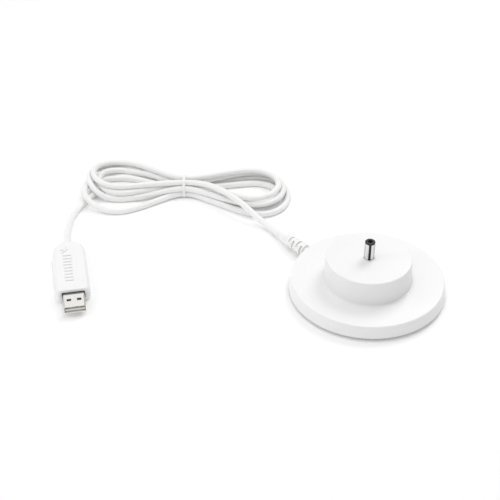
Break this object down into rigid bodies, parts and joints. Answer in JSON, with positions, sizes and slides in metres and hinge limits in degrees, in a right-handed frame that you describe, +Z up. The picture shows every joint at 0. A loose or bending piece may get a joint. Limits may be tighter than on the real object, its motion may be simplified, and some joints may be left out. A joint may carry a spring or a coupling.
{
  "type": "charging base",
  "caption": "Low round charging base with an upright barrel pin on a raised round boss, and a thin lead tied in a hank that ends in a long USB-A plug.",
  "frame": {"origin": "middle of the base's underside, on the surface that its rubber foot stands on", "axes": "+Z up along the barrel pin; the lead leaves towards -X and +Y; +X and +Y are in the table plane, -Y being the side the plug points to"},
  "size_m": [0.2203, 0.1686, 0.0333],
  "materials": {
    "white_shell": "satin white moulded ABS",
    "white_tongue": "white moulded plastic",
    "white_cable": "soft white cable jacket with a low sheen",
    "foot_rubber": "matt grey rubber",
    "pin_chrome": "bright nickel plate",
    "usb_steel": "bright nickel-plated steel, faintly drawn",
    "screw_steel": "zinc-plated",
    "black_plastic": "satin black",
    "contact_gold": "thin gold plate",
    "board_green": "green solder mask",
    "wire_red": "red core insulation",
    "wire_black": "black core insulation",
    "part_yellow": "yellow resin"
  },
  "bodies": {
    "root": {"base_top_cover": "white_shell", "base_bottom_plate": "white_shell", "cable_clamp": "white_shell", "plug_lower_shell": "white_shell", "plug_upper_shell": "white_shell", "usb_tongue": "white_tongue", "strain_relief": "white_cable", "cord_base_tail": "white_cable", "cord_hank": "white_cable", "cord_plug_tail": "white_cable", "cord_tie": "white_cable", "lead_inside_base": "white_cable", "lead_inside_plug": "white_cable", "foot_ring": "foot_rubber", "barrel_sleeve": "pin_chrome", "usb_shell": "usb_steel", "base_screw_1": "screw_steel", "base_screw_2": "screw_steel", "base_screw_3": "screw_steel", "retainer_screw_1": "screw_steel", "retainer_screw_2": "screw_steel", "board_screw_1": "screw_steel", "board_screw_2": "screw_steel", "clamp_screw_1": "screw_steel", "clamp_screw_2": "screw_steel", "barrel_insulator": "black_plastic", "barrel_retainer": "black_plastic", "filter_capacitor": "black_plastic", "protection_chip": "black_plastic", "plug_chip": "black_plastic", "barrel_inner_contact": "contact_gold", "sleeve_solder_tag": "contact_gold", "usb_contact_1": "contact_gold", "usb_contact_2": "contact_gold", "usb_contact_3": "contact_gold", "usb_contact_4": "contact_gold", "charge_board": "board_green", "plug_board": "board_green", "lead_core_positive": "wire_red", "plug_core_positive": "wire_red", "wire_to_contact": "wire_red", "lead_core_negative": "wire_black", "plug_core_negative": "wire_black", "wire_to_tag": "wire_black", "resettable_fuse": "part_yellow", "plug_capacitor": "part_yellow"}
  },
  "joints": []
}
